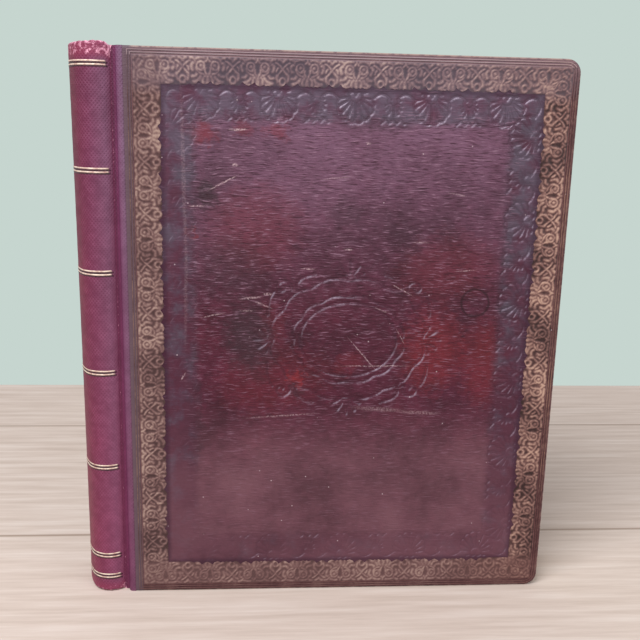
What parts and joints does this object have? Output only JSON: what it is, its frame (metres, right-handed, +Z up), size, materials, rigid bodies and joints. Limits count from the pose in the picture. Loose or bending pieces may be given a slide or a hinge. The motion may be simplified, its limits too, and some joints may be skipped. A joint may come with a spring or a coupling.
{
  "type": "leather photo album",
  "caption": "Upright leather photo album with a rounded hollow spine, sunk joints, hinged covers with gilt and blind tooled borders, and thick card leaves.",
  "frame": {"origin": "on the standing surface, under the middle of the closed book", "axes": "+Z up from tail to head, +X from the spine to the fore-edge, +Y from the front cover to the back cover"},
  "size_m": [0.2451, 0.0404, 0.28],
  "materials": {
    "old_leather": "old straight-grain goatskin, maroon, rubbed and faded, blind tooled",
    "new_leather": "newer cross-grained goatskin, magenta purple, semi-matt",
    "dull_gilt": "old gold leaf tooling, dull brown gold, worn",
    "bright_gilt": "fresh gold leaf rules, pale and bright",
    "millboard": "plain grey-brown binder's board",
    "endpaper": "plain aged cream endpaper",
    "card_leaves": "thick cream card leaves with plain cut edges",
    "linen_tape": "unbleached linen tape",
    "lining_cloth": "starched open cloth",
    "band_silk": "silk thread wound on a core, striped"
  },
  "bodies": {
    "text_block": {"page_block": "card_leaves", "sewing_tapes": "linen_tape", "spine_lining": "lining_cloth", "head_band": "band_silk", "tail_band": "band_silk", "spine_card": "millboard", "spine_leather": "new_leather", "spine_gilt_rules": "bright_gilt"},
    "front_cover": {"front_board": "millboard", "front_cover_leather": "old_leather", "front_joint_leather": "new_leather", "front_pastedown": "endpaper", "front_gilt_tooling": "dull_gilt", "front_tape_slips": "linen_tape"},
    "back_cover": {"back_board": "millboard", "back_cover_leather": "old_leather", "back_joint_leather": "new_leather", "back_pastedown": "endpaper", "back_gilt_tooling": "dull_gilt", "back_tape_slips": "linen_tape"}
  },
  "joints": [
    {"name": "front_cover_hinge", "type": "hinge", "parent": "text_block", "child": "front_cover", "pos_m": [-0.1025, -0.0205, 0.14], "axis": [0, 0, -1], "range_deg": [0, 180]},
    {"name": "back_cover_hinge", "type": "hinge", "parent": "text_block", "child": "back_cover", "pos_m": [-0.1025, 0.0205, 0.14], "axis": [0, 0, 1], "range_deg": [0, 180]}
  ]
}
